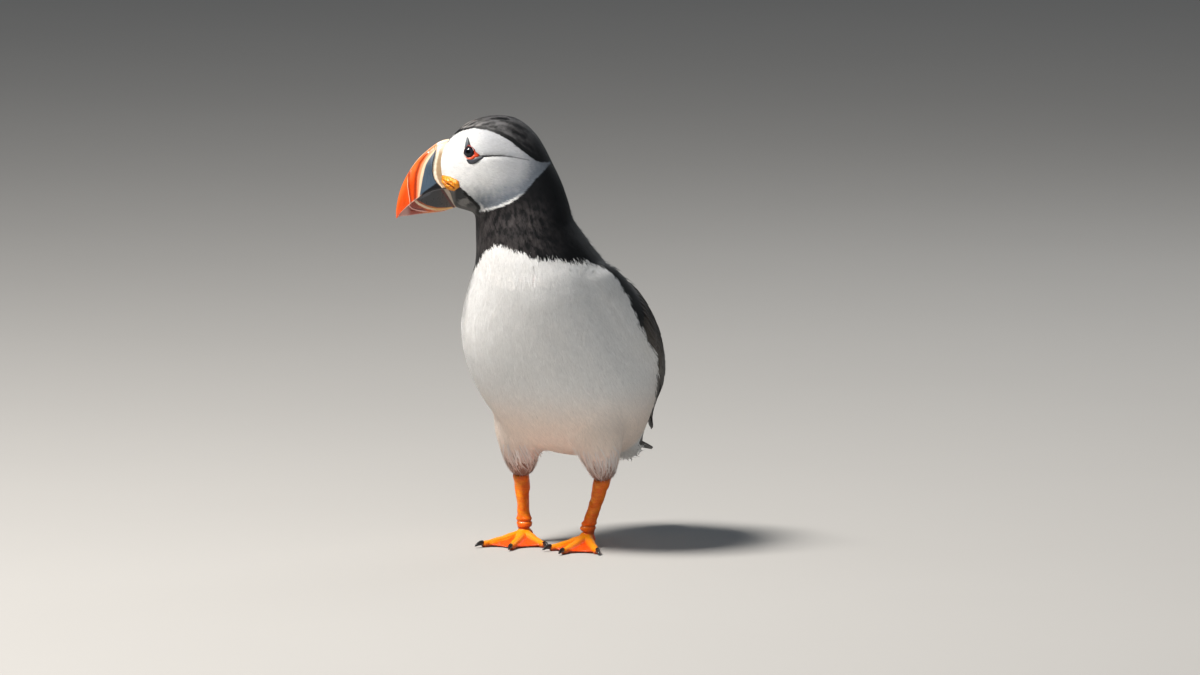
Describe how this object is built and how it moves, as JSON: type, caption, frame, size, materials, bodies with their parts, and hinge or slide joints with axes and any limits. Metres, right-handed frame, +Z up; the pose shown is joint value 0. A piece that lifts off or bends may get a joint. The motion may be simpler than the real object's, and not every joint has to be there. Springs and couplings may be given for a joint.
{
  "type": "atlantic puffin",
  "caption": "Life-size atlantic puffin standing upright on webbed feet, head turned to its right, bill in profile.",
  "frame": {"origin": "middle of the bounding box, on the floor under the feet", "axes": "+Z up; the trunk faces -Y; the bird's left side is +X; the head looks 62 degrees round to the bird's right"},
  "size_m": [0.1088, 0.1644, 0.2352],
  "materials": {
    "white_feathers": "matt, silky",
    "dark_feathers": "matt to silky",
    "bill": "horn, satin",
    "rosette": "wrinkled skin",
    "leg_skin": "scaly skin, satin",
    "claw": "horn, satin",
    "eye": "wet gloss",
    "eye_plate": "horn, matt"
  },
  "bodies": {
    "root": {"bill_lower": "bill", "bill_upper": "bill", "claw_inner_left": "claw", "claw_inner_right": "claw", "claw_middle_left": "claw", "claw_middle_right": "claw", "claw_outer_left": "claw", "claw_outer_right": "claw", "eye_left": "eye", "eye_plate_lower_left": "eye_plate", "eye_plate_lower_right": "eye_plate", "eye_plate_upper_left": "eye_plate", "eye_plate_upper_right": "eye_plate", "eye_right": "eye", "foot_left": "leg_skin", "foot_right": "leg_skin", "head": "white_feathers", "neck": "dark_feathers", "primaries_left": "dark_feathers", "primaries_right": "dark_feathers", "rosette_left": "rosette", "rosette_right": "rosette", "shank_left": "leg_skin", "shank_right": "leg_skin", "tail": "dark_feathers", "thigh_left": "white_feathers", "thigh_right": "white_feathers", "trunk": "white_feathers", "wing_left": "dark_feathers", "wing_right": "dark_feathers"}
  },
  "joints": []
}
